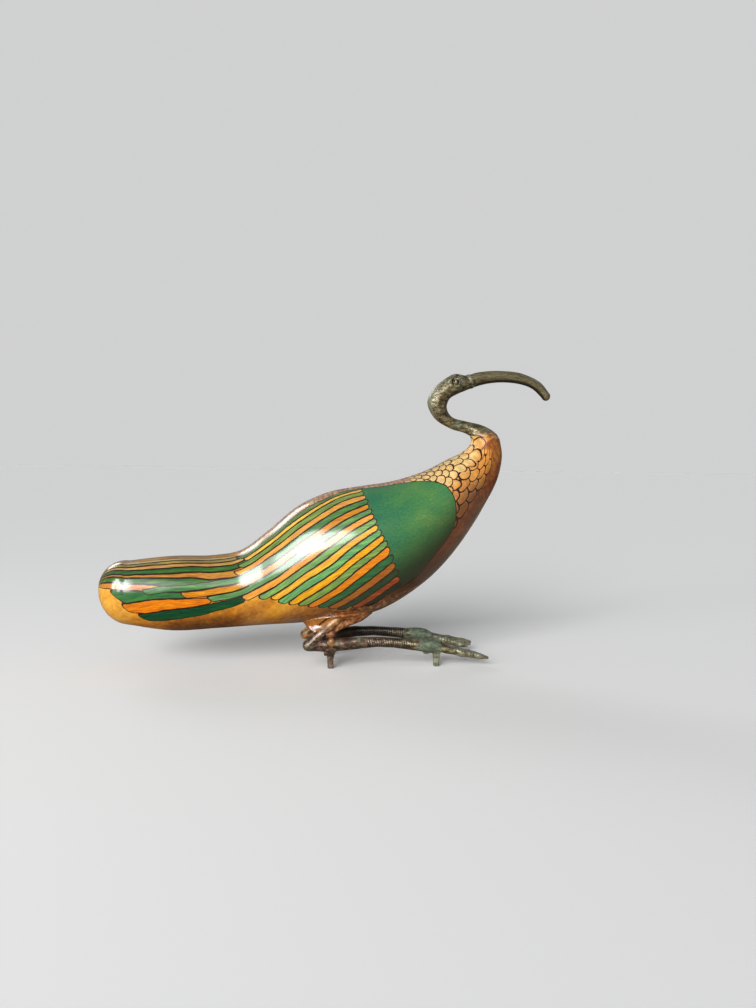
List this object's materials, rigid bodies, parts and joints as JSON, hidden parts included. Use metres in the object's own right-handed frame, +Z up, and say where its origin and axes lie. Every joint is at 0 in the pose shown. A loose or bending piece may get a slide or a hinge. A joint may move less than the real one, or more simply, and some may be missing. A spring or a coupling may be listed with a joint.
{
  "type": "ibis sculpture",
  "caption": "Crouching ibis figure: carved, painted and lacquered wooden body on cast bronze legs, with a cast bronze neck, head and down-curved bill.",
  "frame": {"origin": "middle of the figure's footprint, on the plane that the undersides of the pegs stand on", "axes": "+X towards the bill, +Y to the bird's left, square to its plane of symmetry, +Z up"},
  "size_m": [0.3938, 0.095, 0.2605],
  "materials": {
    "painted_wood": "gloss",
    "bronze": "satin"
  },
  "bodies": {
    "root": {"body": "painted_wood", "neck_and_head": "bronze", "left_leg": "bronze", "right_leg": "bronze"}
  },
  "joints": []
}
